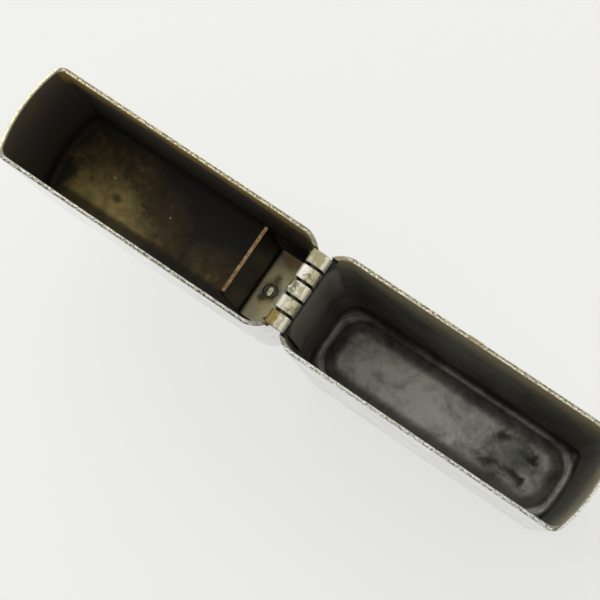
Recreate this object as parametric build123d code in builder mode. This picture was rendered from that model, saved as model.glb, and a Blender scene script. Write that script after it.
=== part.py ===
import os
from math import radians, tan

from build123d import *

os.makedirs("parts", exist_ok=True)

# The sheet-metal case of a flip-top pocket lighter, with its burner insert taken out.
# It stands on its base with the lid thrown fully open, and both mouths face up.
# +Z is up and the hinge axis runs along Y. The case lies on the +X side of the hinge
# and the lid on the -X side. The origin is on the base plane, under the hinge axis.

# Shells, both drawn from sheet to the same plan (millimetres)
case_width = 38.1        # hinge wall to the crown of the free end wall
case_depth = 12.8        # front to back, over the crowns of the long faces
case_height = 36.75      # base to rim
lid_height = 20.4        # top of the lid to its rim
sheet = 0.55             # wall of both shells
face_crown = 0.09        # how far each long face bulges
end_crown = 1.05         # how far the free end wall bulges
hinge_corner = 3.4       # upright corners beside the hinge
free_corner = 1.6        # upright corners at the free end
base_round = 1.5         # outer edge round the base of the case
lid_round = 1.4          # outer edge round the top of the lid
rim_round = 0.12         # worn edges of the rims

# Panel stamped up into the floor of the case, which leaves a groove all round it
groove_side = 0.1        # flat bottom of the groove, along the faces
groove_end = 0.3         # and across the ends
panel_corner = 3.6       # at the foot of the slope
panel_rise = 0.9
panel_slope = 60         # degrees from upright
panel_round = 2.0        # crest of the slope
groove_round = 0.4       # foot of the slope

# Hinge: knuckles rolled from two leaves, the lid's at both ends and in the middle
wall_gap = 0.3           # between the two hinge walls, with the lid open
rim_gap = 0.1            # between the two rims, with the lid closed
leaf_thickness = 0.5
leaf_width = 9.2
case_leaf_height = 15.5
lid_leaf_height = 12.5
knuckle_count = 5
knuckle_length = 1.7
knuckle_gap = 0.28
pin_clearance = 0.04     # radial, in the knuckles that turn on the pin
pin_round = 0.15
knuckle_corner = 0.65    # the rolled barrels are nearly square
knuckle_round = 0.15     # ends of the barrels
notch_clearance = 0.3    # between the knuckles and the notch cut in each wall
curl_end = 304           # degrees of roll, from the leaf round the pin

# Stop plate in the lid: a bent strip with its foot spot-welded to the lid's top
plate_thickness = 0.42
plate_width = 9.4
plate_reach = 8.0        # hinge wall's outer face to the far side of the fence
fence_drop = 5.1         # rim to the top of the fence
fence_corner = 0.4
plate_bend = 0.4         # inner radius of the bend
foot_margin = 1.2        # end of the foot to the bottom round inside the lid
weld_reach = 2.2         # far side of the fence to the middle of the weld
weld_side = 0.45         # from the middle of the plate, towards the front
weld_pit_radius = 0.95
weld_pit_depth = 0.12
weld_pit_slope = 55      # degrees from upright
nugget_length = 1.5
nugget_width = 0.86
nugget_height = 0.22
nugget_round = 0.18

# Places that follow from those sizes
wall_offset = wall_gap / 2
bore_radius = wall_offset + sheet
barrel_radius = bore_radius + leaf_thickness
pin_radius = bore_radius - pin_clearance
axis_level = case_height + rim_gap / 2
lid_level = case_height - lid_height
neck_height = barrel_radius + notch_clearance
notch_floor = axis_level - neck_height
notch_reach = wall_offset + sheet + hinge_corner
knuckle_pitch = knuckle_length + knuckle_gap
hinge_length = knuckle_count * knuckle_pitch - knuckle_gap
notch_width = hinge_length + 2 * notch_clearance
case_middle = wall_offset + case_width / 2
panel_spread = panel_rise * tan(radians(panel_slope))
panel_length = case_width - 2 * (base_round + groove_end)
panel_width = case_depth - 2 * (base_round + groove_side)
panel_top = sheet + panel_rise
recess_inset = sheet * tan(radians((90 - panel_slope) / 2))
fence_far = wall_offset + plate_reach
fence_height = lid_height - sheet - fence_drop
foot_end = wall_offset + lid_round + foot_margin
foot_top = lid_level + sheet + plate_thickness

# Both halves are sketched outward from the hinge, each on its own frame
case_frame = Plane.XY
lid_frame = Plane((0, 0, 0), x_dir=(-1, 0, 0), z_dir=(0, 0, 1))


def side_frame(turn, place, level):
    # An upright plane across the hinge, drawn outward: turn is 1 for the case, -1 for the lid
    return Plane((0, place, level), x_dir=(turn, 0, 0), z_dir=(0, -turn, 0))


# Plan of the shells: crowned faces, a crowned free end and a flat hinge wall
flank = case_depth / 2 - face_crown
flank_end = wall_offset + case_width - end_crown
flank_middle = (wall_offset + flank_end) / 2
with BuildSketch() as outer_plan:
    with BuildLine():
        ThreePointArc((wall_offset, -flank), (flank_middle, -case_depth / 2), (flank_end, -flank))
        ThreePointArc((flank_end, -flank), (wall_offset + case_width, 0), (flank_end, flank))
        ThreePointArc((flank_end, flank), (flank_middle, case_depth / 2), (wall_offset, flank))
        Line((wall_offset, flank), (wall_offset, -flank))
    make_face()
    fillet(outer_plan.vertices().group_by(Axis.X)[0], hinge_corner)
    fillet(outer_plan.vertices().group_by(Axis.X)[-1], free_corner)

with BuildSketch() as cavity_plan:
    add(outer_plan.sketch)
    offset(amount=-sheet)

# Plan of a hinge leaf: a strip pressed against the inside of the hinge wall
with BuildSketch() as leaf_plan:
    add(cavity_plan.sketch)
    offset(amount=-leaf_thickness, mode=Mode.SUBTRACT)
    with Locations((notch_reach / 2, 0)):
        Rectangle(notch_reach, leaf_width, mode=Mode.INTERSECT)


def drawn_shell(frame, level, height, closed_round):
    # An open shell on the common plan, with the notch that the hinge sits in
    with BuildPart() as shell:
        with BuildSketch(frame.offset(level)):
            add(outer_plan.sketch)
        extrude(amount=height)
        fillet(shell.edges().group_by(Axis.Z)[0], closed_round)
        with BuildSketch(frame.offset(level + sheet)):
            add(cavity_plan.sketch)
        extrude(amount=height, mode=Mode.SUBTRACT)
        cavity_floor = shell.edges().filter_by_position(Axis.Z, level + sheet, level + sheet)
        fillet(cavity_floor, closed_round - sheet)
        fillet(shell.edges().group_by(Axis.Z)[-1], rim_round)
        with BuildSketch(frame.offset(notch_floor)):
            with Locations((notch_reach / 2, 0)):
                Rectangle(notch_reach, notch_width)
        extrude(amount=neck_height, mode=Mode.SUBTRACT)
    return shell.part


def rolled_leaf(frame, turn, height, first_knuckle, bore):
    # A strip that ends in every second knuckle of the hinge, rolled up from its edge
    with BuildPart() as leaf:
        with BuildSketch(frame.offset(notch_floor - height)):
            add(leaf_plan.sketch)
        extrude(amount=height)
        for knuckle in range(first_knuckle, knuckle_count, 2):
            place = (knuckle - (knuckle_count - 1) / 2) * knuckle_pitch
            with BuildPart(mode=Mode.PRIVATE) as barrel:
                with BuildSketch(side_frame(turn, place, axis_level)):
                    RectangleRounded(2 * barrel_radius, 2 * barrel_radius, knuckle_corner)
                extrude(amount=knuckle_length / 2, both=True)
                fillet(barrel.faces().filter_by(Axis.Y).edges(), knuckle_round)
                with BuildSketch(side_frame(turn, place, axis_level)):
                    with BuildLine():
                        roll = PolarLine((0, 0), 2 * barrel_radius, curl_end)
                        Polyline(roll @ 1, (2 * barrel_radius, 0), (0, 0))
                    make_face()
                extrude(amount=knuckle_length, both=True, mode=Mode.SUBTRACT)
                with BuildSketch(side_frame(turn, place, axis_level)):
                    with Locations((barrel_radius - leaf_thickness / 2, 0)):
                        Rectangle(leaf_thickness, neck_height, align=(Align.CENTER, Align.MAX))
                extrude(amount=knuckle_length / 2, both=True)
                with BuildSketch(side_frame(turn, place, axis_level)):
                    Circle(bore)
                extrude(amount=knuckle_length, both=True, mode=Mode.SUBTRACT)
            add(barrel.part)
    return leaf.part


def stamped_panel(level, foot_inset):
    # The panel's block with its sloping sides: the upper one fills the floor, and the
    # lower one, a little smaller so that the sheet keeps its thickness, hollows the base
    with BuildPart() as block:
        for rise, inset in ((0, foot_inset), (panel_rise, foot_inset + panel_spread)):
            with BuildSketch(case_frame.offset(level + rise)):
                with Locations((case_middle, 0)):
                    RectangleRounded(
                        panel_length - 2 * inset, panel_width - 2 * inset, panel_corner - inset
                    )
        loft(ruled=True)
    return block.part


with BuildPart() as case_shell:
    add(drawn_shell(case_frame, 0, case_height, base_round))
    add(stamped_panel(sheet, 0))
    panel_edges = case_shell.edges(Select.LAST)
    fillet(panel_edges.filter_by_position(Axis.Z, panel_top, panel_top), panel_round)
    fillet(panel_edges.filter_by_position(Axis.Z, sheet, sheet), groove_round)
    add(stamped_panel(0, recess_inset), mode=Mode.SUBTRACT)
    recess_edges = case_shell.edges(Select.LAST).filter_by_position(Axis.Z, panel_rise, panel_rise)
    fillet(recess_edges, panel_round - sheet)

with BuildPart() as lid_shell:
    add(drawn_shell(lid_frame, lid_level, lid_height, lid_round))

# The pin is tight in the lid's knuckles and turns in the case's
with BuildPart() as case_hinge_leaf:
    add(rolled_leaf(case_frame, 1, case_leaf_height, 1, bore_radius))

with BuildPart() as lid_hinge_leaf:
    add(rolled_leaf(lid_frame, -1, lid_leaf_height, 0, pin_radius))

with BuildPart() as hinge_pin:
    with BuildSketch(side_frame(1, 0, axis_level)):
        Circle(pin_radius)
    extrude(amount=hinge_length / 2, both=True)
    fillet(hinge_pin.edges().group_by(Axis.Y)[0], pin_round)
    fillet(hinge_pin.edges().group_by(Axis.Y)[-1], pin_round)

with BuildPart() as stop_plate:
    with BuildSketch(side_frame(-1, 0, lid_level + sheet)):
        with BuildLine():
            FilletPolyline(
                (foot_end, 0),
                (fence_far, 0),
                (fence_far, fence_height),
                radius=plate_bend + plate_thickness,
            )
            offset(amount=plate_thickness, side=Side.LEFT)
        make_face()
    extrude(amount=plate_width / 2, both=True)
    fillet(stop_plate.edges().filter_by(Axis.X).group_by(Axis.Z)[-1], fence_corner)
    with BuildSketch(lid_frame.offset(foot_top)):
        with Locations((fence_far - weld_reach, weld_side)):
            Circle(weld_pit_radius)
    extrude(amount=-weld_pit_depth, taper=weld_pit_slope, mode=Mode.SUBTRACT)
    with BuildSketch(lid_frame.offset(foot_top - weld_pit_depth)):
        with Locations((fence_far - weld_reach, weld_side)):
            SlotOverall(nugget_length, nugget_width, rotation=90)
    extrude(amount=nugget_height)
    nugget_top = foot_top - weld_pit_depth + nugget_height
    fillet(stop_plate.edges().filter_by_position(Axis.Z, nugget_top, nugget_top), nugget_round)


def save(builder, name):
    builder.part.label = name
    export_step(builder.part, f"parts/{name}.step")


save(case_shell, "case_shell")
save(lid_shell, "lid_shell")
save(case_hinge_leaf, "case_hinge_leaf")
save(lid_hinge_leaf, "lid_hinge_leaf")
save(hinge_pin, "hinge_pin")
save(stop_plate, "stop_plate")
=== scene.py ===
import math

import bpy
from mathutils import Matrix, Vector


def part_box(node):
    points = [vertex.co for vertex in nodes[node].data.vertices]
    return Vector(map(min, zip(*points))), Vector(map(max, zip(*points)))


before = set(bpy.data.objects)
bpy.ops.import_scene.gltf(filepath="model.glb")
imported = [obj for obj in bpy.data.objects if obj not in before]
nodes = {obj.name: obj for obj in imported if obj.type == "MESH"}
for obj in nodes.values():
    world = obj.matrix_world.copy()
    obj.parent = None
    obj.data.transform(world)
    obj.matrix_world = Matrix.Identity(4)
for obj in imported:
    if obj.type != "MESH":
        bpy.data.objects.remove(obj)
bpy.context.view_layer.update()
print("frame loaded")

mm = 0.001

# Where the pieces lie, in mm
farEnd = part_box("case_shell")[1].x / mm
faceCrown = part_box("case_shell")[1].y / mm
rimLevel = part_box("case_shell")[1].z / mm
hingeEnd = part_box("hinge_pin")[1].y / mm
axisLevel = (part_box("hinge_pin")[0].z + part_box("hinge_pin")[1].z) / 2 / mm
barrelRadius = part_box("lid_hinge_leaf")[1].z / mm - axisLevel
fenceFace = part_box("stop_plate")[0].x / mm
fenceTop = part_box("stop_plate")[1].z / mm
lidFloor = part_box("stop_plate")[0].z / mm


def linear(hexColour):
    # sRGB hex to the linear colour that shaders take
    parts = [int(hexColour[i:i + 2], 16) / 255 for i in (1, 3, 5)]
    return [p / 12.92 if p <= 0.04045 else ((p + 0.055) / 1.055) ** 2.4 for p in parts] + [1.0]


def addNode(tree, kind, inputs=None, stops=None, **settings):
    # inputs: socket name or number to a value, a node (its first output) or an output socket
    # stops: (place, hex colour) pairs of a colour ramp
    made = tree.nodes.new("ShaderNode" + kind)
    for name, value in settings.items():
        setattr(made, name, value)
    for socket, value in (inputs or {}).items():
        if isinstance(value, bpy.types.Node):
            value = value.outputs[0]
        if isinstance(value, bpy.types.NodeSocket):
            tree.links.new(value, made.inputs[socket])
        else:
            made.inputs[socket].default_value = value
    if stops:
        ramp = made.color_ramp
        while len(ramp.elements) < len(stops):
            ramp.elements.new(0.5)
        for element, (spot, hexColour) in zip(ramp.elements, stops):
            element.position = spot
            element.color = linear(hexColour)
    return made


def newMaterial(name):
    # A material with no surface yet, and what its patterns are placed by, in mm
    made = bpy.data.materials.new(name)
    made.use_nodes = True
    tree = made.node_tree
    tree.nodes.clear()
    coords = addNode(tree, "TexCoord")
    place = addNode(tree, "VectorMath", {0: coords.outputs["Object"], "Scale": 1 / mm}, operation="SCALE")
    apart = addNode(tree, "SeparateXYZ", {0: place})
    facing = addNode(tree, "SeparateXYZ", {0: coords.outputs["Normal"]})
    at = {"place": place.outputs[0], "normal": coords.outputs["Normal"]}
    for axis in "XYZ":
        at[axis] = apart.outputs[axis]
        at["n" + axis] = facing.outputs[axis]
    return made, tree, at


def grain(tree, at, size, detail=4, stretch=(1, 1, 1), twist=0.0, rough=0.55, lift=(0, 0, 0)):
    # Noise with patches of about that size in mm, longer along the axes that stretch names
    spread = [1 / (size * s) for s in stretch]
    placed = addNode(tree, "Mapping", {"Vector": at["place"], "Location": lift, "Scale": spread})
    return addNode(tree, "TexNoise", {"Vector": placed, "Scale": 1.0, "Detail": detail,
                                      "Roughness": rough, "Distortion": twist})


def wander(tree, noise, reach):
    # Noise, most of which lies between 0.3 and 0.7, as a wander to both sides of 0
    return addNode(tree, "MapRange", {"Value": noise, "From Min": 0.3, "From Max": 0.7,
                                      "To Min": -reach, "To Max": reach})


def maskOf(tree, *steps):
    # The product of smooth steps. Each is a value and its span: the two points that it steps
    # between, then how much it is before and after them, where that isn't 0 and 1.
    product = None
    for value, (start, end, *amounts) in steps:
        before, after = amounts or (0.0, 1.0)
        step = addNode(tree, "MapRange", {"Value": value, "From Min": start, "From Max": end,
                                          "To Min": before, "To Max": after},
                       interpolation_type="SMOOTHSTEP")
        if product is not None:
            step = addNode(tree, "Math", {0: product, 1: step}, operation="MULTIPLY")
        product = step
    return product


def coated(tree, colour, *coats):
    # Lays coats over a colour, each a mask and a colour of its own: a hex colour or a node's
    for mask, coat in coats:
        below, above = (linear(c) if isinstance(c, str) else c for c in (colour, coat))
        colour = addNode(tree, "MixRGB", {0: mask, 1: below, 2: above})
    return colour


def stainMask(tree, at, stain, ragged):
    # An oval stain with a ragged edge, or an oval ring where the stain has a width, in mm.
    # An arch is a ring whose front half fades out.
    x, y = stain["centre"]
    longHalf, shortHalf = stain["half"]
    moved = addNode(tree, "VectorMath", {0: at["place"], 1: (x, y, 0)}, operation="SUBTRACT")
    sized = addNode(tree, "VectorMath", {0: moved, 1: (1 / longHalf, 1 / shortHalf, 0)},
                    operation="MULTIPLY")
    reach = addNode(tree, "VectorMath", {0: sized}, operation="LENGTH").outputs["Value"]
    reach = addNode(tree, "Math", {0: reach, 1: wander(tree, ragged, stain["ragged"])}, operation="ADD")
    if "width" not in stain:
        return maskOf(tree, (reach, (1.0 + stain["soft"], 1.0 - stain["soft"], 0.0, stain["depth"])))
    fromRing = addNode(tree, "Math", {0: reach, 1: 1.0}, operation="SUBTRACT")
    fromRing = addNode(tree, "Math", {0: fromRing}, operation="ABSOLUTE")
    forward = addNode(tree, "SeparateXYZ", {0: sized}).outputs["Y"]
    return maskOf(tree, (fromRing, (stain["width"], 0.1 * stain["width"], 0.0, stain["depth"])),
                  (forward, (-0.9, 0.1, stain["front"], 1.0)))


def outlineReach(tree, at, outline):
    # Distance outside a rounded rectangle, seen from above, and less than 0 inside it
    x, y = outline["centre"]
    longHalf, shortHalf = outline["half"]
    corner = outline["corner"]
    straight = (longHalf - corner, shortHalf - corner, 0)
    moved = addNode(tree, "VectorMath", {0: at["place"], 1: (x, y, 0)}, operation="SUBTRACT")
    moved = addNode(tree, "VectorMath", {0: moved, 1: (1, 1, 0)}, operation="MULTIPLY")
    moved = addNode(tree, "VectorMath", {0: moved}, operation="ABSOLUTE")
    past = addNode(tree, "VectorMath", {0: moved, 1: straight}, operation="SUBTRACT")
    past = addNode(tree, "VectorMath", {0: past, 1: (0, 0, 0)}, operation="MAXIMUM")
    reach = addNode(tree, "VectorMath", {0: past}, operation="LENGTH").outputs["Value"]
    return addNode(tree, "Math", {0: reach, 1: corner}, operation="SUBTRACT")


def shaded(tree, finish):
    # A finish has a colour, a roughness, a metallic, a gloss for the part that isn't metal,
    # and, where it isn't smooth, a height in mm
    inputs = {"Base Color": finish["colour"], "Roughness": finish["roughness"],
              "Metallic": finish["metallic"], "Specular IOR Level": finish["gloss"]}
    if "height" in finish:
        inputs["Normal"] = addNode(tree, "Bump", {"Strength": 1.0, "Distance": mm,
                                                  "Height": finish["height"]})
    return addNode(tree, "BsdfPrincipled", inputs)


# Outside of the shells: bright chrome plate on brass, polished, then carried in a pocket for years.
# It mirrors the room through a haze of fine scratches and finger marks, and it is rubbed through
# to the brass in small spots on the upright corners. The lid's plate is painted lighter than the case's,
# as painted light.
chromePlate = {
    "case": "#DEDFDE",
    # painted light: the lid's plate is lighter where it mirrors the shade under the lid
    "lid": "#F0F1F0",
    "scratch": "#B4B5B3",
    "smudge": "#C9CAC7",
    "brass": "#B79A62",
    "ontoLitLid": (-8, -20),            # mm along the lid, from the case's colour to the lid's painted lighter one, as painted light
    "roughness": 0.12,
    "scratchRoughness": 0.3,
    "smudgeRoughness": 0.1,          # more under a finger mark
    "smudgeShare": 0.2,
    "smudgeSize": 7.0,               # mm
    "smudgeSpan": (0.42, 0.68),      # of the noise
    "scratchShare": (0.55, 0.2),     # on clear plate, and under a finger mark
    "scratchSize": 0.07,             # mm across, twice as coarse as the real ones, so that they show
    "scratchStretch": (45, 20, 1),   # times that along X, Y and Z
    "scratchTurns": (0.35, -0.6, 1.2),           # radians, about Y
    "scratchSpan": (0.64, 0.74),
    "wearSize": 0.5,                 # mm
    "wearStretch": (1, 1, 4),
    "wearSpan": (0.27, 0.33, 0.0, 0.75),         # of the corner's lean times the noise
}


def plateFinish(tree, at):
    scratched = 0.0
    for turn in chromePlate["scratchTurns"]:
        turned = addNode(tree, "VectorRotate", {"Vector": at["place"], "Angle": turn},
                         rotation_type="Y_AXIS")
        lines = grain(tree, {"place": turned.outputs[0]}, chromePlate["scratchSize"], 2,
                      chromePlate["scratchStretch"])
        lines = maskOf(tree, (lines, chromePlate["scratchSpan"]))
        scratched = addNode(tree, "Math", {0: scratched, 1: lines}, operation="MAXIMUM")
    smudges = grain(tree, at, chromePlate["smudgeSize"], 6, twist=0.4, rough=0.6)
    smudges = maskOf(tree, (smudges, chromePlate["smudgeSpan"]))

    # Scratches lie thickest where the plate is smudged least
    clear, smudged = chromePlate["scratchShare"]
    share = addNode(tree, "MapRange", {"Value": smudges, "To Min": clear, "To Max": smudged})
    scratched = addNode(tree, "Math", {0: scratched, 1: share}, operation="MULTIPLY")
    dull = addNode(tree, "Math", {0: smudges, 1: chromePlate["smudgeShare"]}, operation="MULTIPLY")
    # Painted light: the lid's plate is painted lighter than the case's
    ontoLitLid = maskOf(tree, (at["X"], chromePlate["ontoLitLid"]))
    colour = coated(tree, chromePlate["case"], (ontoLitLid, chromePlate["lid"]),
                    (dull, chromePlate["smudge"]), (scratched, chromePlate["scratch"]))
    roughness = addNode(tree, "Mix", {0: scratched, 2: chromePlate["roughness"],
                                      3: chromePlate["scratchRoughness"]})
    hazy = addNode(tree, "Math", {0: smudges, 1: chromePlate["smudgeRoughness"]}, operation="MULTIPLY")
    roughness = addNode(tree, "Math", {0: roughness, 1: hazy}, operation="ADD")

    # On the upright corners the normal leans two ways at once
    lean = addNode(tree, "Math", {0: at["nX"], 1: at["nY"]}, operation="MULTIPLY")
    lean = addNode(tree, "Math", {0: lean}, operation="ABSOLUTE")
    rubbed = grain(tree, at, chromePlate["wearSize"], 6, chromePlate["wearStretch"], rough=0.7)
    worn = addNode(tree, "Math", {0: lean, 1: rubbed}, operation="MULTIPLY")
    worn = maskOf(tree, (worn, chromePlate["wearSpan"]))
    colour = coated(tree, colour, (worn, chromePlate["brass"]))
    return {"colour": colour, "roughness": roughness, "metallic": 1.0, "gloss": 0.5}


# Rims: the raw edge of the sheet, rubbed bright by opening and shutting, nicked and pitted.
# The back rims show the brass, and the front ones are greyer and more pitted.
rawRim = {
    "bright": "#ECE9DD",
    "edge": "#E0DCCB",
    "worn": "#ADA998",
    "pit": "#6E6959",
    "dark": "#5B574A",
    "darkest": "#3A3831",
    # also the painted highlight along the rims' outer edge
    "rubbed": "#F8F6EE",
    "endBrass": "#EDE7C0",
    "endPlate": "#E9E9E0",
    "brassTint": "#F4F0E2",
    "lidBrassTint": "#DAD2BC",
    "greyTint": "#EEF3FB",
    "lidGreyTint": "#D8DADC",
    "brown": "#8B7A58",
    "roughness": 0.36,
    "depth": 0.15,                   # mm that the wear reaches down each face
    "pitSize": 0.17,                 # mm
    "pitStretch": (2, 1, 1),
    "pitHeight": 0.02,
    "pitSpan": (0.62, 0.42, 0.35, 0.9),          # of the noise
    "pitsOnCaseFront": 0.4,          # share of them left there, where the rim is cleaner
    "toBack": (-3, 3),               # mm
    "toLid": (2, -2),
    "roundedSpan": (0.98, 0.85, 0.0, 0.4),       # of the normal's Z
    "pitted": (0.37, 0.27),          # mm in from the crown of the long faces
    "unpitted": (0.05, 0.13),
    "dulled": (0.44, 0.58, 0.0, 0.7),
    "rubbedAndLitEdge": (0.13, 0.05, 0.0, 0.8),
    "end": (0.62, 0.5),              # mm in from the outside of the far end walls
    "endInside": (0.16, 0.42, 0.0, 0.9),
    "endSpan": (0.4, 0.55),          # of the noise
    "endBow": 0.0264,                # of those walls, in mm over the square of mm from the middle
    "patches": (                     # brown patches: middle and half length along the rim, in mm
        (1.0, 1.6),
        (19.0, 0.9),
    ),
    "patchShare": 0.6,
}


def rimFinish(tree, at):
    pits = grain(tree, at, rawRim["pitSize"], 3, rawRim["pitStretch"], rough=0.7)
    colour = addNode(tree, "ValToRGB", {0: pits}, stops=[(0.36, rawRim["pit"]), (0.45, rawRim["worn"]),
                                                        (0.58, rawRim["bright"])])
    back = maskOf(tree, (at["Y"], rawRim["toBack"]))
    onLid = maskOf(tree, (at["X"], rawRim["toLid"]))
    greyTint = coated(tree, rawRim["greyTint"], (onLid, rawRim["lidGreyTint"]))
    brassTint = coated(tree, rawRim["brassTint"], (onLid, rawRim["lidBrassTint"]))
    tint = coated(tree, greyTint, (back, brassTint))
    rounded = maskOf(tree, (at["nZ"], rawRim["roundedSpan"]))
    colour = coated(tree, colour, (rounded, rawRim["edge"]))
    colour = addNode(tree, "MixRGB", {0: 1.0, 1: colour, 2: tint}, blend_type="MULTIPLY")

    # The outer half of the long rims is darker and more pitted
    fromFace = addNode(tree, "Math", {0: at["Y"]}, operation="ABSOLUTE")
    fromFace = addNode(tree, "Math", {0: faceCrown, 1: fromFace}, operation="SUBTRACT")
    pitted = maskOf(tree, (fromFace, rawRim["pitted"]), (fromFace, rawRim["unpitted"]),
                    (pits, rawRim["pitSpan"]))
    onCase = addNode(tree, "Math", {0: 1.0, 1: onLid}, operation="SUBTRACT")
    onCaseFront = addNode(tree, "Math", {0: onCase, 1: back}, operation="SUBTRACT", use_clamp=True)
    pitsLeft = addNode(tree, "MapRange", {"Value": onCaseFront, "To Min": 1.0,
                                          "To Max": rawRim["pitsOnCaseFront"]})
    pitted = addNode(tree, "Math", {0: pitted, 1: pitsLeft}, operation="MULTIPLY")
    pitColour = coated(tree, rawRim["darkest"], (back, rawRim["dark"]))

    # Their inner edge is dull, and their outer edge is rubbed bright and painted brighter still, as a
    # painted highlight
    dull = maskOf(tree, (fromFace, rawRim["dulled"]))
    rubbed = maskOf(tree, (fromFace, rawRim["rubbedAndLitEdge"]))
    colour = coated(tree, colour, (pitted, pitColour), (dull, rawRim["dark"]), (rubbed, rawRim["rubbed"]))

    # The far ends are rubbed bright, down to the brass on the lid, and their inner edges are brown
    bow = addNode(tree, "Math", {0: at["Y"], 1: 2}, operation="POWER")
    bow = addNode(tree, "Math", {0: bow, 1: rawRim["endBow"]}, operation="MULTIPLY")
    fromHinge = addNode(tree, "Math", {0: at["X"]}, operation="ABSOLUTE")
    fromEnd = addNode(tree, "Math", {0: farEnd, 1: fromHinge}, operation="SUBTRACT")
    fromEnd = addNode(tree, "Math", {0: fromEnd, 1: bow}, operation="SUBTRACT")
    rubbedEnd = coated(tree, rawRim["endPlate"], (onLid, rawRim["endBrass"]))
    endColour = coated(tree, rawRim["worn"], (maskOf(tree, (pits, rawRim["endSpan"])), rubbedEnd),
                       (maskOf(tree, (fromEnd, rawRim["endInside"])), rawRim["dark"]))
    colour = coated(tree, colour, (maskOf(tree, (fromEnd, rawRim["end"])), endColour))
    for middle, half in rawRim["patches"]:
        along = addNode(tree, "Math", {0: at["X"], 1: middle}, operation="SUBTRACT")
        along = addNode(tree, "Math", {0: along}, operation="ABSOLUTE")
        patch = maskOf(tree, (along, (1.3 * half, 0.7 * half, 0.0, rawRim["patchShare"])))
        patch = addNode(tree, "Math", {0: patch, 1: back}, operation="MULTIPLY")
        colour = coated(tree, colour, (patch, rawRim["brown"]))
    return {"colour": colour, "roughness": rawRim["roughness"], "metallic": 1.0, "gloss": 0.5,
            "height": addNode(tree, "Math", {0: pits, 1: rawRim["pitHeight"]}, operation="MULTIPLY")}


# Inside of the case: thin plate gone grey and dull from fuel. The raised panel is rubbed paler, and
# painted paler still in its middle and along its front as painted light. The walls carry a brown film,
# painted palest next to the rim as painted light, and two dark stains lie on the panel. A painted
# highlight rings the panel, and the floor's corners carry painted shade.
caseInside = {
    "panelDark": "#8A8982",
    "panelLight": "#E6E5DC",
    # painted light laid on the panel's front
    "rubbed": "#FAF9F2",
    "wallDark": "#63615A",
    "wallLight": "#908E84",
    "filmAndLight": "#AEA685",
    "rust": "#A37F5C",
    # also laid into the floor's corners as painted shade
    "stain": "#33342B",
    "panelRoughness": 0.52,
    "panelMetallic": 0.72,
    "wallRoughness": 0.5,
    "wallMetallic": 0.45,
    "gloss": 0.35,
    "cloudSize": 5.0,                # mm
    "speckSize": 0.8,
    "speckHeight": 0.015,
    "speckShare": 0.25,
    "curlSize": 1.3,
    "rustSpan": (0.55, 0.68, 0.0, 0.7),          # of the noise
    "filmAndLightDepth": 13.0,               # mm below the rim, over which the film is painted paler towards the rim, as painted light
    "filmAndLightShare": 0.9,
    "litMostAt": 21.0,                # mm along the case, where the panel is painted lightest, as painted light
    "paintedLight": (17.0, 0, -0.01, 0.04),            # mm from there, and how much paler it is painted
    # the panel's front painted lighter, as painted light
    "litFront": (-2.8, -3.8, 0.0, 0.45),
    "litEnd": (33, 36, 0.0, 0.16),  # mm along the case, where the walls are painted paler, as painted light
    "groove": {"centre": (19.1, 0.0), "half": (18.1, 5.25), "corner": 3.9},      # its outer edge, in mm
    "ringHighlight": (0.25, -0.1),           # mm outside that edge, where the painted highlight lies
    "slopeFoot": (-0.4, -0.75),      # and inside it, where the panel's slope starts, left dark as painted shade
    "slopeLevel": (1.0, 0.7, 0.0, 0.5),
    "slopeEnd": (32, 35, 1.0, 0.45),
    "squeeze": (6.0, 1.5, 0.0, 0.2), # mm off both sides of the painted highlight, beside the hinge
    "facingUp": (0.35, 0.95),        # of the normal's Z
    "shadedBack": (3.5, 5.0, 1.0, 0.28),           # mm, and how much of the painted highlight is left there, as painted shade
    # the painted highlight dimmed beside the hinge, as painted shade
    "shadedHinge": (3.6, 2.0, 1.0, 0.75),
    "cornerShade": (0.1, 0.5),              # mm outside the groove's edge, where the corners are painted dark as painted shade
    "cornerShadeAlong": (10, 30, 0.5, 0.72),
    "cornerShadeLevel": (2.2, 1.2),
    "stains": [                      # in mm; an arch has a width
        {"centre": (29.3, -0.4), "half": (3.0, 2.8), "soft": 0.4, "ragged": 0.35, "depth": 0.5},
        {"centre": (29.6, 1.3), "half": (2.6, 1.3), "width": 0.5, "front": 0.0, "ragged": 0.3,
         "depth": 0.5},
        {"centre": (27.4, 2.0), "half": (0.9, 0.6), "soft": 0.8, "ragged": 0.35, "depth": 0.7},
        {"centre": (30.5, 1.6), "half": (0.9, 0.6), "soft": 0.6, "ragged": 0.4, "depth": 0.5},
        {"centre": (31.9, 1.2), "half": (0.9, 0.35), "soft": 0.6, "ragged": 0.35, "depth": 0.75},
        {"centre": (32.3, 1.8), "half": (0.35, 0.8), "soft": 0.6, "ragged": 0.35, "depth": 0.75},
        {"centre": (29.7, -2.5), "half": (2.8, 1.1), "width": 0.5, "front": 0.1, "ragged": 0.3,
         "depth": 0.6},
        {"centre": (31.2, -1.5), "half": (1.3, 0.4), "soft": 0.6, "ragged": 0.4, "depth": 0.6},
        {"centre": (32.4, -1.9), "half": (0.35, 0.7), "soft": 0.6, "ragged": 0.4, "depth": 0.6},
        {"centre": (29.7, -3.2), "half": (1.3, 0.6), "soft": 0.8, "ragged": 0.35, "depth": 0.6},
        {"centre": (27.4, -1.6), "half": (0.5, 0.9), "soft": 0.8, "ragged": 0.35, "depth": 0.6},
    ],
}


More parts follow.
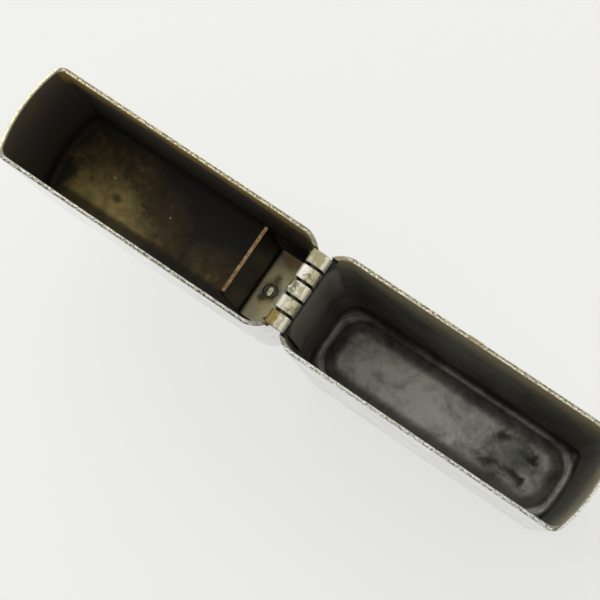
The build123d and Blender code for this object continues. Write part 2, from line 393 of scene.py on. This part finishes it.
def panelColour(tree, at, blended):
    # Painted lightest in the middle of the panel and along its front, as painted light, with the stains
    # near the free end
    fromLitMost = addNode(tree, "Math", {0: at["X"], 1: caseInside["litMostAt"]}, operation="SUBTRACT")
    fromLitMost = addNode(tree, "Math", {0: fromLitMost}, operation="ABSOLUTE")
    paintedLight = maskOf(tree, (fromLitMost, caseInside["paintedLight"]))
    pale = addNode(tree, "Math", {0: blended, 1: paintedLight}, operation="ADD")
    colour = addNode(tree, "ValToRGB", {0: pale}, stops=[(0.36, caseInside["panelDark"]),
                                                        (0.60, caseInside["panelLight"])])
    curls = grain(tree, at, caseInside["curlSize"], 3, twist=0.8, rough=0.5, lift=(1.2, 0.4, 0.9))
    for stain in caseInside["stains"]:
        colour = coated(tree, colour, (stainMask(tree, at, stain, curls), caseInside["stain"]))
    litFront = maskOf(tree, (at["Y"], caseInside["litFront"]))
    return coated(tree, colour, (litFront, caseInside["rubbed"]))


def caseWallColour(tree, at, clouds, blended, grooveReach):
    colour = addNode(tree, "ValToRGB", {0: blended}, stops=[(0.40, caseInside["wallDark"]),
                                                           (0.62, caseInside["wallLight"])])
    litEnd = maskOf(tree, (at["X"], caseInside["litEnd"]))

    # Painted shade in the corners of the floor, laid in the stain colour, and the film, rusty in patches
    # and painted paler up to the rim as painted light
    cornerShade = maskOf(tree, (grooveReach, caseInside["cornerShade"]), (at["X"], caseInside["cornerShadeAlong"]),
                  (at["Z"], caseInside["cornerShadeLevel"]))
    rust = maskOf(tree, (clouds, caseInside["rustSpan"]))
    filmColour = coated(tree, caseInside["filmAndLight"], (rust, caseInside["rust"]))
    filmAndLight = maskOf(tree, (at["Z"], (rimLevel - caseInside["filmAndLightDepth"], rimLevel, 0.0,
                                   caseInside["filmAndLightShare"])))
    return coated(tree, colour, (litEnd, caseInside["panelLight"]), (cornerShade, caseInside["stain"]),
                  (filmAndLight, filmColour))


def floorWithPaintedRing(tree, at, grooveReach):
    # The panel, and a painted highlight along the bottom of the groove round it, dimmed towards the back
    # and the hinge as painted shade.
    # The foot of the slope between them is left in the wall colour, as painted shade. The painted
    # highlight is narrower beside the hinge.
    squeeze = maskOf(tree, (at["X"], caseInside["squeeze"]))
    outside = addNode(tree, "Math", {0: grooveReach, 1: squeeze}, operation="ADD")
    inside = addNode(tree, "Math", {0: grooveReach, 1: squeeze}, operation="SUBTRACT")
    onSlope = maskOf(tree, (inside, caseInside["slopeFoot"]), (at["Z"], caseInside["slopeLevel"]),
                     (at["X"], caseInside["slopeEnd"]))
    offSlope = addNode(tree, "Math", {0: 1.0, 1: onSlope}, operation="SUBTRACT")
    floorAndRing = maskOf(tree, (at["nZ"], caseInside["facingUp"]), (outside, caseInside["ringHighlight"]),
                   (at["Y"], caseInside["shadedBack"]), (at["X"], caseInside["shadedHinge"]))
    return addNode(tree, "Math", {0: floorAndRing, 1: offSlope}, operation="MULTIPLY")


def caseInsideFinish(tree, at):
    clouds = grain(tree, at, caseInside["cloudSize"], 6, twist=0.9, rough=0.6)
    specks = grain(tree, at, caseInside["speckSize"], 4, rough=0.6, lift=(3.1, 1.7, 0.4))
    blended = addNode(tree, "Mix", {0: caseInside["speckShare"], 2: clouds, 3: specks})
    grooveReach = outlineReach(tree, at, caseInside["groove"])
    floorAndRing = floorWithPaintedRing(tree, at, grooveReach)
    colour = coated(tree, caseWallColour(tree, at, clouds, blended, grooveReach),
                    (floorAndRing, panelColour(tree, at, blended)))
    roughness = addNode(tree, "Mix", {0: floorAndRing, 2: caseInside["wallRoughness"],
                                      3: caseInside["panelRoughness"]})
    metallic = addNode(tree, "Mix", {0: floorAndRing, 2: caseInside["wallMetallic"],
                                     3: caseInside["panelMetallic"]})
    height = addNode(tree, "Math", {0: specks, 1: caseInside["speckHeight"]}, operation="MULTIPLY")
    return {"colour": colour, "roughness": roughness, "metallic": metallic,
            "gloss": caseInside["gloss"], "height": height}


# Inside of the lid: brass under lacquer and soot. The walls are black-brown, with a lighter brown
# band next to the back rim, painted there as painted light, and the top is mottled from dark brown to
# gold towards the front.
# The corners between the top and the walls carry soot and painted shade.
lidInside = {
    "soot": "#54514D",
    "sootBrown": "#5A5144",
    "topDark": "#2B2925",
    "topBrown": "#4D3F29",
    "topGold": "#AE9A60",
    # painted light on the back wall next to the rim
    "litBand": "#A58C50",
    "fleck": "#B8AE8C",
    "roughness": 0.5,
    "wallMetallic": 0.15,
    "topMetallic": 0.4,
    "gloss": 0.1,
    "cloudSize": 5.0,                # mm
    "hueSize": 3.5,
    "speckSize": 0.9,
    "speckHeight": 0.02,
    "speckShare": 0.3,
    "evenness": 0.45,                # how much of the mottling is evened out
    "goldToFront": (2.8, -3.5, -0.17, 0.05),     # mm, and how much more gold there is
    "goldToEnd": (-16, -31, -0.07, 0.19),
    "hues": (                        # olive and rusty patches: colour, and span of their own noise
        ("#5A5C3E", (0.52, 0.62, 0.0, 0.35)),
        ("#5C4028", (0.46, 0.36, 0.0, 0.35)),
    ),
    "giltSpan": (0.36, 0.52),        # of the mottling, where they show
    "facingUp": (0.5, 1.0),          # of the normal's Z
    "bandDepth": 5.0,                # mm below the rim
    "bandEdge": 0.5,
    "raggedness": 1.2,               # mm
    "bandOnBack": (-0.3, -0.9, 0.07, 1.0),       # of the normal's Y
    "bandByHinge": (-0.2, -0.6),     # of the normal's X
    "bandCorner": (0, 3),            # mm towards the back
    "sootShadeBack": (3.0, 5.0, 0.0, 0.7),            # mm; soot and painted shade, thickest towards the walls
    "sootShadeFront": (-3.3, -4.2, 0.0, 0.75),
    "sootShadeEnd": (-34.6, -36.8, 0.0, 0.92),
    "sootShadeHeight": (3.5, 0.5),        # mm above the inside of the top
    "spots": [                       # in mm
        {"centre": (-28.6, -1.6), "half": (0.6, 0.5), "soft": 0.8, "ragged": 0.3, "depth": 0.7},
        {"centre": (-17.6, -2.9), "half": (0.35, 0.8), "soft": 0.5, "ragged": 0.4, "depth": 0.7},
        {"centre": (-34.6, 0.9), "half": (0.5, 0.45), "soft": 0.8, "ragged": 0.3, "depth": 0.5},
        {"centre": (-32.9, -1.1), "half": (0.3, 0.3), "soft": 0.5, "ragged": 0.4, "depth": 0.5},
    ],
    "flecks": [
        {"centre": (-30.4, 0.5), "half": (0.2, 0.13), "soft": 0.5, "ragged": 0.4, "depth": 0.8},
        {"centre": (-21.6, 0.2), "half": (0.12, 0.1), "soft": 0.5, "ragged": 0.4, "depth": 0.8},
    ],
}


def lidTopColour(tree, at, clouds, specks):
    # Dark towards the back and the hinge, gold towards the front and the far end
    hues = grain(tree, at, lidInside["hueSize"], 3, rough=0.5, lift=(2.7, 5.1, 0.3))
    gilt = addNode(tree, "Mix", {0: lidInside["speckShare"], 2: clouds, 3: specks})
    gilt = addNode(tree, "Mix", {0: lidInside["evenness"], 2: gilt, 3: 0.5})
    start, end, before, after = lidInside["goldToFront"]
    toFront = addNode(tree, "MapRange", {"Value": at["Y"], "From Min": start, "From Max": end,
                                         "To Min": before, "To Max": after})
    toEnd = maskOf(tree, (at["X"], lidInside["goldToEnd"]))
    for more in (toFront, toEnd):
        gilt = addNode(tree, "Math", {0: gilt, 1: more}, operation="ADD")
    colour = addNode(tree, "ValToRGB", {0: gilt}, stops=[(0.33, lidInside["topDark"]),
                                                        (0.50, lidInside["topBrown"]),
                                                        (0.72, lidInside["topGold"])])
    for hexColour, span in lidInside["hues"]:
        share = maskOf(tree, (hues, span), (gilt, lidInside["giltSpan"]))
        colour = coated(tree, colour, (share, hexColour))
    for spot in lidInside["spots"]:
        colour = coated(tree, colour, (stainMask(tree, at, spot, specks), lidInside["topDark"]))
    for fleck in lidInside["flecks"]:
        colour = coated(tree, colour, (stainMask(tree, at, fleck, specks), lidInside["fleck"]))
    return colour


def lidWallColour(tree, at, clouds, ragged):
    # The lighter brown band, painted light, lies on the back wall and runs round the corner beside the
    # hinge
    colour = addNode(tree, "ValToRGB", {0: clouds}, stops=[(0.42, lidInside["soot"]),
                                                          (0.62, lidInside["sootBrown"])])
    level = addNode(tree, "Math", {0: at["Z"], 1: ragged}, operation="ADD")
    litBand = maskOf(tree, (level, (rimLevel - lidInside["bandDepth"], rimLevel - lidInside["bandEdge"])))
    onBack = maskOf(tree, (at["nY"], lidInside["bandOnBack"]))
    byHinge = maskOf(tree, (at["nX"], lidInside["bandByHinge"]), (at["Y"], lidInside["bandCorner"]))
    onBack = addNode(tree, "Math", {0: onBack, 1: byHinge}, operation="MAXIMUM")
    litBand = addNode(tree, "Math", {0: litBand, 1: onBack}, operation="MULTIPLY")
    return coated(tree, colour, (litBand, lidInside["litBand"]))


def lidInsideFinish(tree, at):
    clouds = grain(tree, at, lidInside["cloudSize"], 6, twist=0.2, rough=0.62, lift=(1.3, 0.2, 0.9))
    specks = grain(tree, at, lidInside["speckSize"], 3, rough=0.6, lift=(0.4, 2.2, 1.4))
    ragged = wander(tree, clouds, lidInside["raggedness"])
    isTop = maskOf(tree, (at["nZ"], lidInside["facingUp"]))
    colour = coated(tree, lidWallColour(tree, at, clouds, ragged),
                    (isTop, lidTopColour(tree, at, clouds, specks)))

    # Soot, and painted shade, lie thickest in the corner between the top and the walls
    shadeCover = maskOf(tree, (at["Y"], lidInside["sootShadeBack"]))
    along = addNode(tree, "Math", {0: at["X"], 1: ragged}, operation="ADD")
    for place, span in ((at["Y"], lidInside["sootShadeFront"]), (along, lidInside["sootShadeEnd"])):
        shadeCover = addNode(tree, "Math", {0: shadeCover, 1: maskOf(tree, (place, span))}, operation="MAXIMUM")
    aboveFloor = addNode(tree, "Math", {0: at["Z"], 1: lidFloor}, operation="SUBTRACT")
    inCorner = maskOf(tree, (aboveFloor, lidInside["sootShadeHeight"]))
    shadeCover = addNode(tree, "Math", {0: shadeCover, 1: inCorner}, operation="MULTIPLY")
    colour = coated(tree, colour, (shadeCover, lidInside["topDark"]))
    metallic = addNode(tree, "Mix", {0: isTop, 2: lidInside["wallMetallic"], 3: lidInside["topMetallic"]})
    metallic = addNode(tree, "Mix", {0: shadeCover, 2: metallic, 3: 0.0})
    height = addNode(tree, "Math", {0: specks, 1: lidInside["speckHeight"]}, operation="MULTIPLY")
    return {"colour": colour, "roughness": lidInside["roughness"], "metallic": metallic,
            "gloss": lidInside["gloss"], "height": height}


# Cut faces of the notches, matt: brown brass in the lid, and black in the case, as painted shade in the
# notch
cutFace = {
    "notchShade": "#2E2B25",
    "brass": "#6F6038",
    "roughness": 0.6,
    "gloss": 0.2,
    "notchMargin": 0.32,             # mm past the ends and the underside of the barrels
    "notchDepth": 4.4,               # mm from the hinge axis
}


def cutFaceMask(tree, at):
    along = addNode(tree, "Math", {0: at["Y"]}, operation="ABSOLUTE")
    across = addNode(tree, "Math", {0: at["X"]}, operation="ABSOLUTE")
    margin = cutFace["notchMargin"]
    isWithin = addNode(tree, "Math", {0: along, 1: hingeEnd + margin}, operation="LESS_THAN")
    isClose = addNode(tree, "Math", {0: across, 1: cutFace["notchDepth"]}, operation="LESS_THAN")
    isHigh = addNode(tree, "Math", {0: at["Z"], 1: axisLevel - barrelRadius - margin},
                     operation="GREATER_THAN")
    mask = addNode(tree, "Math", {0: isWithin, 1: isClose}, operation="MULTIPLY")
    return addNode(tree, "Math", {0: mask, 1: isHigh}, operation="MULTIPLY")


def insideMask(tree, at, node):
    # A face of the inside looks towards a point high above the mouth
    low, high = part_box(node)
    aboveMouth = 60                  # mm
    point = ((low.x + high.x) / 2 / mm, 0, high.z / mm + aboveMouth)
    offset = addNode(tree, "VectorMath", {0: at["place"], 1: point}, operation="SUBTRACT")
    away = addNode(tree, "VectorMath", {0: at["normal"], 1: offset}, operation="DOT_PRODUCT")
    return addNode(tree, "Math", {0: away.outputs["Value"], 1: 0}, operation="LESS_THAN")


def shellMaterial(name, node, insideFinish, cutColour):
    made, tree, at = newMaterial(name)
    rimDepth = rawRim["depth"]
    isRim = maskOf(tree, (at["Z"], (rimLevel - rimDepth, rimLevel - 0.5 * rimDepth)))
    cut = {"colour": linear(cutColour), "roughness": cutFace["roughness"], "metallic": 0.0,
           "gloss": cutFace["gloss"]}
    surface = shaded(tree, plateFinish(tree, at))
    for mask, finish in ((insideMask(tree, at, node), insideFinish(tree, at)),
                         (isRim, rimFinish(tree, at)), (cutFaceMask(tree, at), cut)):
        surface = addNode(tree, "MixShader", {0: mask, 1: surface, 2: shaded(tree, finish)})
    addNode(tree, "OutputMaterial", {0: surface})
    return made


caseMetal = shellMaterial("chromed_brass_case", "case_shell", caseInsideFinish, cutFace["notchShade"])
lidMetal = shellMaterial("chromed_brass_lid", "lid_shell", lidInsideFinish, cutFace["brass"])
nodes["case_shell"].material_slots[0].material = caseMetal
nodes["lid_shell"].material_slots[0].material = lidMetal
print("shells finished")

# Hinge: nickel-plated steel strip, rolled into knuckles. Their tops are rubbed bright in places and
# stained olive or amber in others, with marks along the roll, and carry painted highlights. Between and
# below them lies black oil, laid on as painted shade in the gaps.
hingeStrip = {
    "bright": "#E0DED3",
    # painted highlight on the lid's knuckles
    "shoulderHighlight": "#F4EFD9",
    "pale": "#B5B099",
    "beige": "#9C9575",
    "olive": "#BDB797",
    "oliveDark": "#6B654B",
    "tan": "#938C6B",
    "amber": "#7E6A35",
    "leaf": "#98958C",
    "leafDark": "#827F75",
    "grimeAndShade": "#1E1C18",
    "roughness": 0.5,
    "metallic": 0.65,
    "leafMetallic": 0.35,
    "gloss": 0.3,
    "rollMark": 0.15,                # mm between the marks of rolling
    "rollStretch": (1, 25, 1),
    "rollHeight": 0.008,
    "rollSpan": (0.48, 0.66, 0.0, 0.5),          # of the noise
    "stainSize": 0.7,                # mm
    "stainedSpan": (0.42, 0.52),
    "paleSpan": (0.4, 0.5),
    "tanSpan": (0.36, 0.58),
    "speckSpan": (0.46, 0.64),
    "leafSpan": (0.3, 0.7),
    "raggedness": 0.5,               # mm
    "fleckSize": 0.22,
    "fleckStretch": (1, 2, 1),
    "fleckSpan": (0.60, 0.70, 0.0, 0.5),
    "backKnuckle": (2.4, 3.0),       # mm along the hinge
    "frontKnuckle": (-2.4, -3.0),
    "caseFront": (0.5, -0.5, 0.0, 0.6),
    "lidSide": (0.1, -0.35),         # mm across the lid's knuckles
    "dullStripe": (0.2, 0.5, 0.0, 0.6),
    "highlightStripe": (0.62, 0.8, 0.0, 0.85),
    "highlightRagged": 0.3,
    "caseSide": (0.3, -0.5),         # mm across the case's knuckles, to their brighter half, partly a painted highlight
    "bareDepth": 0.45,               # mm that the bright top reaches below the axis
    "bareEdge": 0.3,
    "grimeAndShadeDepth": 2.6,               # mm below that, where the oil and painted shade end
    "grimeAndShadeEnds": (0.6, 0.85),        # of the normal's lean along the hinge
    "outerEnds": (0.05, 0.3, 0.35, 1.0),         # mm in from the ends of the hinge
}


def lidKnuckleColour(tree, at, stains, across):
    # Back knuckle beige, middle one bright with a dark stain, front one amber towards the lid
    back = maskOf(tree, (at["Y"], hingeStrip["backKnuckle"]))
    front = maskOf(tree, (at["Y"], hingeStrip["frontKnuckle"]))
    toLid = maskOf(tree, (across, hingeStrip["lidSide"]))
    stained = maskOf(tree, (stains, hingeStrip["stainedSpan"]), (across, hingeStrip["lidSide"]))
    pale = maskOf(tree, (stains, hingeStrip["paleSpan"]))
    tan = maskOf(tree, (stains, hingeStrip["tanSpan"]))
    plain = coated(tree, hingeStrip["bright"], (pale, hingeStrip["pale"]))
    middle = coated(tree, plain, (stained, hingeStrip["oliveDark"]))
    beige = coated(tree, hingeStrip["pale"], (tan, hingeStrip["tan"]))
    amber = coated(tree, plain, (toLid, hingeStrip["amber"]))

    # Towards the case a dull stripe runs along the roll, and then a painted highlight
    dull = maskOf(tree, (across, hingeStrip["dullStripe"]))
    shoulderHighlight = addNode(tree, "Mix", {0: hingeStrip["highlightRagged"], 2: at["X"], 3: across})
    shoulderHighlight = maskOf(tree, (shoulderHighlight, hingeStrip["highlightStripe"]))
    return coated(tree, middle, (back, beige), (front, amber), (dull, hingeStrip["beige"]),
                  (shoulderHighlight, hingeStrip["shoulderHighlight"]))


def caseKnuckleColour(tree, at, stains, across):
    # Bright towards the lid, partly as a painted highlight, olive towards the case, with dark specks
    toLid = maskOf(tree, (across, hingeStrip["caseSide"]))
    toFront = maskOf(tree, (at["Y"], hingeStrip["caseFront"]))
    bright = coated(tree, hingeStrip["bright"], (toFront, hingeStrip["pale"]))
    specks = maskOf(tree, (stains, hingeStrip["speckSpan"]))
    return coated(tree, hingeStrip["olive"], (specks, hingeStrip["oliveDark"]), (toLid, bright))


def hingeMaterial(name, knuckleColour):
    made, tree, at = newMaterial(name)
    marks = grain(tree, at, hingeStrip["rollMark"], 3, hingeStrip["rollStretch"])
    stains = grain(tree, at, hingeStrip["stainSize"], 5, twist=0.5, rough=0.65, lift=(0.6, 0.1, 2.0))
    flecks = grain(tree, at, hingeStrip["fleckSize"], 4, hingeStrip["fleckStretch"], rough=0.7,
                   lift=(4.1, 0.7, 1.2))
    across = addNode(tree, "Math", {0: at["X"], 1: wander(tree, stains, hingeStrip["raggedness"])},
                     operation="ADD")

    # The leaf below the barrels, then oil and painted shade on the leaf and on the ends of the barrels
    bareLevel = axisLevel - hingeStrip["bareDepth"]
    bareEdge, grimeAndShadeDepth = hingeStrip["bareEdge"], hingeStrip["grimeAndShadeDepth"]
    belowBare = (bareLevel + bareEdge, bareLevel - bareEdge)
    aboveOilAndShadeEnd = (bareLevel - grimeAndShadeDepth, bareLevel - 0.3 * grimeAndShadeDepth)
    isLeaf = maskOf(tree, (at["Z"], belowBare))
    leafStain = maskOf(tree, (stains, hingeStrip["leafSpan"]))
    leaf = coated(tree, hingeStrip["leaf"], (leafStain, hingeStrip["leafDark"]))
    oilAndShade = maskOf(tree, (at["Z"], aboveOilAndShadeEnd), (at["Z"], belowBare))
    facingAlong = addNode(tree, "Math", {0: at["nY"]}, operation="ABSOLUTE")
    fromEnd = addNode(tree, "Math", {0: at["Y"]}, operation="ABSOLUTE")
    fromEnd = addNode(tree, "Math", {0: hingeEnd, 1: fromEnd}, operation="SUBTRACT")
    ends = maskOf(tree, (facingAlong, hingeStrip["grimeAndShadeEnds"]), (fromEnd, hingeStrip["outerEnds"]))
    oilAndShade = addNode(tree, "Math", {0: oilAndShade, 1: ends}, operation="MAXIMUM")

    colour = coated(tree, knuckleColour(tree, at, stains, across),
                    (maskOf(tree, (marks, hingeStrip["rollSpan"])), hingeStrip["beige"]),
                    (maskOf(tree, (flecks, hingeStrip["fleckSpan"])), hingeStrip["oliveDark"]),
                    (isLeaf, leaf), (oilAndShade, hingeStrip["grimeAndShade"]))
    metallic = addNode(tree, "Mix", {0: isLeaf, 2: hingeStrip["metallic"], 3: hingeStrip["leafMetallic"]})
    metallic = addNode(tree, "Mix", {0: oilAndShade, 2: metallic, 3: 0.0})
    lift = addNode(tree, "Mix", {0: isLeaf, 2: hingeStrip["rollHeight"], 3: 0.0})
    height = addNode(tree, "Math", {0: marks, 1: lift}, operation="MULTIPLY")
    surface = shaded(tree, {"colour": colour, "roughness": hingeStrip["roughness"],
                            "metallic": metallic, "gloss": hingeStrip["gloss"], "height": height})
    addNode(tree, "OutputMaterial", {0: surface})
    return made


caseStrip = hingeMaterial("nickelled_steel_case_leaf", caseKnuckleColour)
lidStrip = hingeMaterial("nickelled_steel_lid_leaf", lidKnuckleColour)
nodes["case_hinge_leaf"].material_slots[0].material = caseStrip
nodes["lid_hinge_leaf"].material_slots[0].material = lidStrip

# Pin: drawn steel wire, dark with oil, with fine lines along it
pinWire = {
    "dark": "#2A2824",
    "light": "#4C4942",
    "roughness": 0.35,
    "drawMark": 0.1,                 # mm between the marks of drawing
    "drawStretch": (1, 30, 1),
    "drawHeight": 0.004,
}


def pinMaterial(name):
    made, tree, at = newMaterial(name)
    drawn = grain(tree, at, pinWire["drawMark"], 3, pinWire["drawStretch"])
    colour = addNode(tree, "ValToRGB", {0: drawn}, stops=[(0.35, pinWire["dark"]),
                                                         (0.65, pinWire["light"])])
    height = addNode(tree, "Math", {0: drawn, 1: pinWire["drawHeight"]}, operation="MULTIPLY")
    surface = shaded(tree, {"colour": colour, "roughness": pinWire["roughness"], "metallic": 1.0,
                            "gloss": 0.5, "height": height})
    addNode(tree, "OutputMaterial", {0: surface})
    return made


nodes["hinge_pin"].material_slots[0].material = pinMaterial("drawn_steel_wire")
print("hinge finished")

# Stop plate: brass strip, bent and spot welded. Its fence and the bend into the foot are painted black as
# painted shade, the foot is rubbed to an olive grey, painted darker towards the back as painted shade,
# with an orange heat stain, and the sheared top edge is bare and coppery.
stopPlate = {
    "foot": "#EADCA4",
    "footGrey": "#D0D3BE",
    "footDark": "#7D7358",
    "heat": "#8F6039",
    # laid as painted shade on the fence and the bend
    "soot": "#1D1C1A",
    "edge": "#5F4A34",
    "edgeLight": "#857050",
    "nugget": "#FFF8D6",
    "scorch": "#2E2B25",
    "roughness": 0.42,
    "nuggetRoughness": 0.24,
    "edgeRoughness": 0.45,
    "metallic": 0.9,
    "shadeMetallic": 0.2,
    "gloss": 0.2,
    "cloudSize": 1.8,                # mm
    "speckSize": 0.35,
    "speckHeight": 0.012,
    "nuggetHeight": 0.018,
    "greySpan": (0.35, 0.7),         # of the noise
    "speckSpan": (0.5, 0.8, 0.0, 0.5),
    "lightSpan": (0.4, 0.65),
    "shadedBack": (1.0, 4.7, 0.0, 0.65),           # mm; the foot painted darker towards the back, as painted shade
    "shadeLevel": (0.5, 1.0),         # mm above the inside of the lid's top
    "shadeByFence": (1.1, 0.4, 0.0, 0.9),         # mm from the fence's far side
    "edgeDepth": 0.05,
    "weld": (2.2, -0.45),            # mm from the fence's far side, and from the middle of the lid
    "welded": {"half": (0.4, 0.72), "soft": 0.35, "ragged": 0.3, "depth": 1.0},
    "heated": {"off": (0.3, 4.7), "half": (1.6, 1.1), "soft": 0.6, "ragged": 0.4, "depth": 0.7},
    "scorched": [                    # off: mm from the weld
        {"off": (0, 0), "half": (0.9, 1.15), "soft": 0.8, "ragged": 0.5, "depth": 0.85},
        {"off": (0, 1.5), "half": (0.5, 0.7), "soft": 0.6, "ragged": 0.5, "depth": 0.6},
        {"off": (-0.5, -1.2), "half": (0.5, 0.6), "soft": 0.6, "ragged": 0.5, "depth": 0.7},
    ],
}


def weldMask(tree, at, stain, ragged):
    # A stain that is placed from the weld
    x, y = stopPlate["weld"]
    offX, offY = stain.get("off", (0, 0))
    return stainMask(tree, at, {**stain, "centre": (fenceFace + x + offX, y + offY)}, ragged)


def stopPlateMaterial(name):
    made, tree, at = newMaterial(name)
    clouds = grain(tree, at, stopPlate["cloudSize"], 5, rough=0.6)
    specks = grain(tree, at, stopPlate["speckSize"], 4, rough=0.65)
    nugget = weldMask(tree, at, stopPlate["welded"], specks)
    scorched = 0.0
    for stain in stopPlate["scorched"]:
        mask = weldMask(tree, at, stain, specks)
        scorched = addNode(tree, "Math", {0: scorched, 1: mask}, operation="MAXIMUM")

    # Painted shade covers the fence, and the foot where it bends up into the fence
    aboveFloor = addNode(tree, "Math", {0: at["Z"], 1: lidFloor}, operation="SUBTRACT")
    fromFence = addNode(tree, "Math", {0: at["X"], 1: fenceFace}, operation="SUBTRACT")
    shadeCover = addNode(tree, "Math", {0: maskOf(tree, (aboveFloor, stopPlate["shadeLevel"])),
                                    1: maskOf(tree, (fromFence, stopPlate["shadeByFence"]))},
                     operation="MAXIMUM")
    colour = coated(tree, stopPlate["foot"],
                    (maskOf(tree, (clouds, stopPlate["greySpan"])), stopPlate["footGrey"]),
                    (maskOf(tree, (specks, stopPlate["speckSpan"])), stopPlate["footDark"]),
                    (maskOf(tree, (at["Y"], stopPlate["shadedBack"])), stopPlate["footDark"]),
                    (weldMask(tree, at, stopPlate["heated"], clouds), stopPlate["heat"]),
                    (scorched, stopPlate["scorch"]), (nugget, stopPlate["nugget"]),
                    (shadeCover, stopPlate["soot"]))

    blackened = addNode(tree, "Math", {0: scorched, 1: nugget}, operation="SUBTRACT", use_clamp=True)
    matt = addNode(tree, "Math", {0: shadeCover, 1: blackened}, operation="MAXIMUM")
    metallic = addNode(tree, "Mix", {0: matt, 2: stopPlate["metallic"], 3: stopPlate["shadeMetallic"]})
    roughness = addNode(tree, "Mix", {0: nugget, 2: stopPlate["roughness"],
                                      3: stopPlate["nuggetRoughness"]})
    lift = addNode(tree, "Mix", {0: nugget, 2: stopPlate["speckHeight"], 3: stopPlate["nuggetHeight"]})
    height = addNode(tree, "Math", {0: specks, 1: lift}, operation="MULTIPLY")
    plate = shaded(tree, {"colour": colour, "roughness": roughness, "metallic": metallic,
                          "gloss": stopPlate["gloss"], "height": height})

    isEdge = addNode(tree, "Math", {0: at["Z"], 1: fenceTop - stopPlate["edgeDepth"]},
                     operation="GREATER_THAN")
    light = maskOf(tree, (specks, stopPlate["lightSpan"]))
    bare = coated(tree, stopPlate["edge"], (light, stopPlate["edgeLight"]))
    sheared = shaded(tree, {"colour": bare, "roughness": stopPlate["edgeRoughness"], "metallic": 1.0,
                            "gloss": 0.5})
    surface = addNode(tree, "MixShader", {0: isEdge, 1: plate, 2: sheared})
    addNode(tree, "OutputMaterial", {0: surface})
    return made


nodes["stop_plate"].material_slots[0].material = stopPlateMaterial("sooted_brass_strip")
print("stop plate finished")

# Floor: a wide sheet of matt paper, seen as a plain near-white
floorSheet = {
    "radius": 2.0,                   # metres
    "colour": "#F4F4F1",
    "plainShare": 0.55,              # how much of what is seen is the plain colour, without shadows
}


def seenShare(tree):
    # 1 where the background is looked at, straight or by way of metal, and 0 where it only lights things
    rays = addNode(tree, "LightPath")
    seen = addNode(tree, "Math", {0: rays.outputs["Is Camera Ray"], 1: rays.outputs["Is Glossy Ray"]},
                   operation="MAXIMUM")
    return addNode(tree, "Math", {0: seen, 1: rays.outputs["Is Transmission Ray"]}, operation="MAXIMUM")


def makeFloor():
    bpy.ops.mesh.primitive_circle_add(vertices=128, radius=floorSheet["radius"], fill_type="NGON")
    floor = bpy.context.object
    floor.name = "floor"
    made, tree, _ = newMaterial("floor_paper")
    lit = addNode(tree, "BsdfDiffuse", {"Color": linear(floorSheet["colour"])})
    plain = addNode(tree, "Emission", {"Color": linear(floorSheet["colour"])})
    share = addNode(tree, "Math", {0: seenShare(tree), 1: floorSheet["plainShare"]}, operation="MULTIPLY")
    surface = addNode(tree, "MixShader", {0: share, 1: lit, 2: plain})
    addNode(tree, "OutputMaterial", {0: surface})
    floor.data.materials.append(made)


makeFloor()

# Light: a white sky and one wide soft box, over the lid's side
studio = {
    "skyStrength": 0.66,
    "seenSky": "#F2F2EF",
    "boxSize": 0.9,                  # metres
    "boxPower": 3.2,                 # watts
    "boxPlace": (-0.48, 0.28, 0.62),             # metres
}


def makeLight():
    world = bpy.data.worlds.new("studio")
    bpy.context.scene.world = world
    world.use_nodes = True
    tree = world.node_tree
    tree.nodes.clear()
    light = addNode(tree, "Background", {"Strength": studio["skyStrength"], "Color": (1, 1, 1, 1)})
    seen = addNode(tree, "Background", {"Strength": 1.0, "Color": linear(studio["seenSky"])})
    sky = addNode(tree, "MixShader", {0: seenShare(tree), 1: light, 2: seen})
    addNode(tree, "OutputWorld", {0: sky})
    lamp = bpy.data.lights.new("softBox", "AREA")
    lamp.shape = "SQUARE"
    lamp.size = studio["boxSize"]
    lamp.energy = studio["boxPower"]
    box = bpy.data.objects.new("softBox", lamp)
    bpy.context.scene.collection.objects.link(box)
    box.location = studio["boxPlace"]
    box.rotation_mode = "QUATERNION"
    box.rotation_quaternion = box.location.to_track_quat("Z", "Y")


makeLight()
bpy.context.scene.view_settings.view_transform = "Standard"
print("stage lit")

# Camera: nearly overhead, and turned about its own line of sight
camera = {
    "aim": (0.71, -0.74, rimLevel),  # mm
    "distance": 164.0,
    "azimuth": 64.5,                 # degrees
    "elevation": 80.3,
    "roll": -30.3,
    "lens": 90.3,                    # mm
    "sensor": 36.0,
    "nearest": 10.0,
}


def makeCamera():
    data = bpy.data.cameras.new("camera")
    data.lens = camera["lens"]
    data.sensor_width = camera["sensor"]
    data.clip_start = camera["nearest"] * mm
    made = bpy.data.objects.new("camera", data)
    bpy.context.scene.collection.objects.link(made)
    bpy.context.scene.camera = made
    azimuth, elevation = math.radians(camera["azimuth"]), math.radians(camera["elevation"])
    back = Vector((math.sin(azimuth) * math.cos(elevation),
                   -math.cos(azimuth) * math.cos(elevation), math.sin(elevation)))
    made.location = (Vector(camera["aim"]) + back * camera["distance"]) * mm
    level = back.to_track_quat("Z", "Y").to_matrix().to_4x4()
    turned = level @ Matrix.Rotation(math.radians(camera["roll"]), 4, "Z")
    made.rotation_mode = "QUATERNION"
    made.rotation_quaternion = turned.to_quaternion()


makeCamera()
print("camera set")
